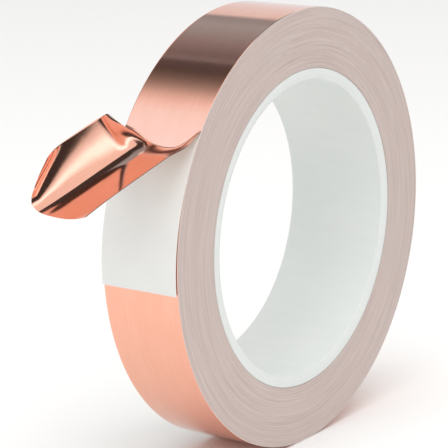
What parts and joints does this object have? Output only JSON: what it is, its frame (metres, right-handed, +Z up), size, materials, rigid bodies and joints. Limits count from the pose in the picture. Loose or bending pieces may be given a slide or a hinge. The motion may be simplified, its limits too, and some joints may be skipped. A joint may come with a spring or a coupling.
{
  "type": "copper foil tape roll",
  "caption": "Roll of adhesive copper foil tape on a white plastic core; the free end is peeled, with the curled foil standing off the bare release liner.",
  "frame": {"origin": "on the axis of the core bore, half way across the tape width", "axes": "+X along the roll's axis, towards the side where core and tape end flush; +Z up; the peeled end is at the -Y side"},
  "size_m": [0.029, 0.1499, 0.1124],
  "materials": {
    "core": "smooth white extruded tube, slightly green in the shade",
    "tape_edges": "slit edges of copper foil and white paper in fine alternating turns",
    "copper": "bright rolled copper foil with fine lengthwise grain",
    "adhesive": "clear acrylic adhesive, copper showing through",
    "liner": "smooth white release paper"
  },
  "bodies": {
    "roll": {"core_tube": "core", "wound_tape": "tape_edges", "outer_foil": "copper", "outer_adhesive": "adhesive", "outer_liner": "liner"},
    "foil_flap": {"foil_flap": "copper", "flap_adhesive": "adhesive"},
    "liner_tail": {"liner_tail": "liner"}
  },
  "joints": [
    {"name": "flap_bend", "type": "hinge", "parent": "roll", "child": "foil_flap", "pos_m": [0, -0.04846, 0.03049], "axis": [-1, 0, 0], "range_deg": [-14, 60]},
    {"name": "liner_lift", "type": "hinge", "parent": "roll", "child": "liner_tail", "pos_m": [0, -0.04777, 0.02947], "axis": [-1, 0, 0], "range_deg": [0, 14]}
  ]
}
